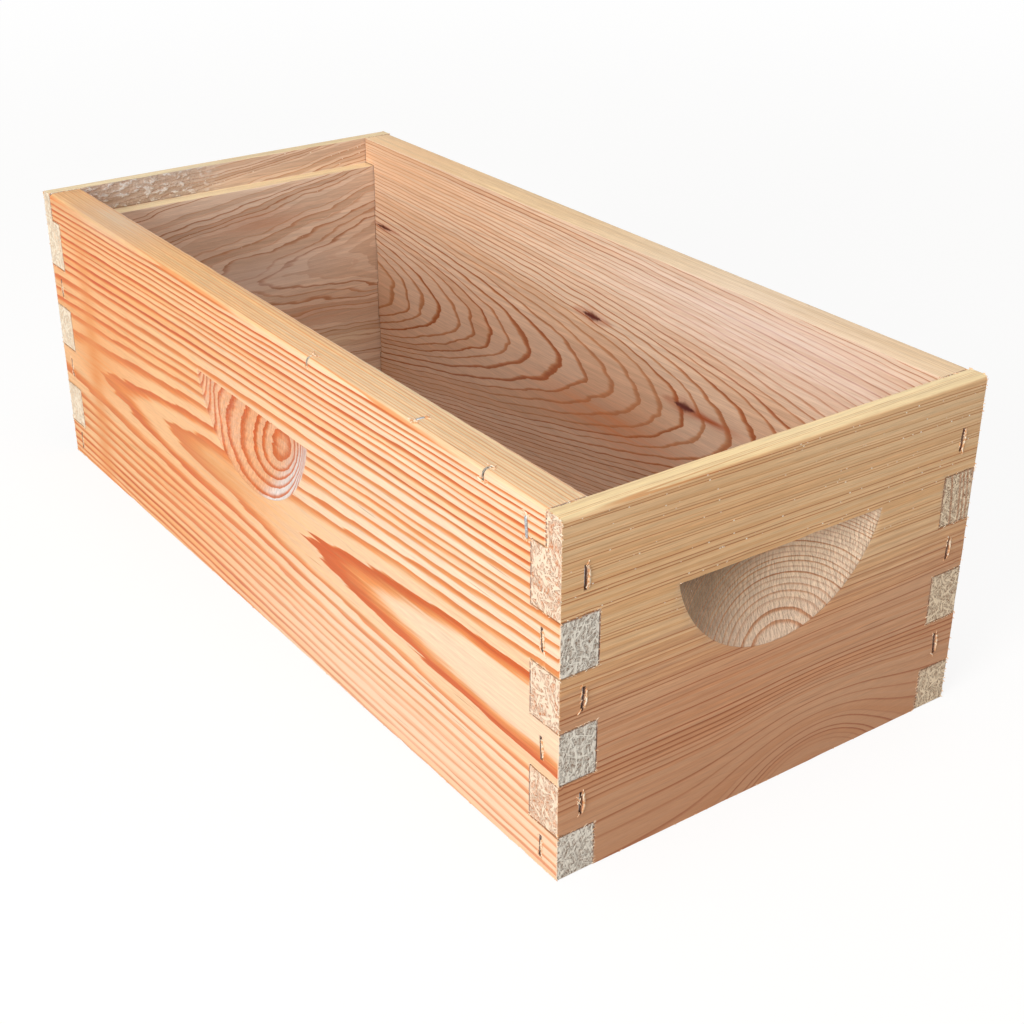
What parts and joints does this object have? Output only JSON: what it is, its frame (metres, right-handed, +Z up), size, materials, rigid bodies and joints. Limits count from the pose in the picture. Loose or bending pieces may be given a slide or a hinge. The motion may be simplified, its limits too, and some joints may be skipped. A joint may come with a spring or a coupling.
{
  "type": "nuc box",
  "caption": "Open-ended wooden nuc box body with finger-jointed corners, frame-rest rebates in the end boards and a scooped hand hold in each face.",
  "frame": {"origin": "middle of the bottom rim, on the surface that the box stands on", "axes": "+X across the frames towards the right side board, +Y along the frames towards the rear end board, +Z up"},
  "size_m": [0.2326, 0.505, 0.168],
  "materials": {
    "side_wood": "planed, bare",
    "end_wood": "planed, bare",
    "staple_wire": "zinc coated wire"
  },
  "bodies": {
    "root": {"left_side": "side_wood", "right_side": "side_wood", "front_end": "end_wood", "rear_end": "end_wood", "front_left_end_staples": "staple_wire", "front_right_end_staples": "staple_wire", "rear_left_end_staples": "staple_wire", "rear_right_end_staples": "staple_wire", "front_left_side_staples": "staple_wire", "front_right_side_staples": "staple_wire", "rear_left_side_staples": "staple_wire", "rear_right_side_staples": "staple_wire", "stray_staple": "staple_wire", "rim_staples": "staple_wire"}
  },
  "joints": []
}
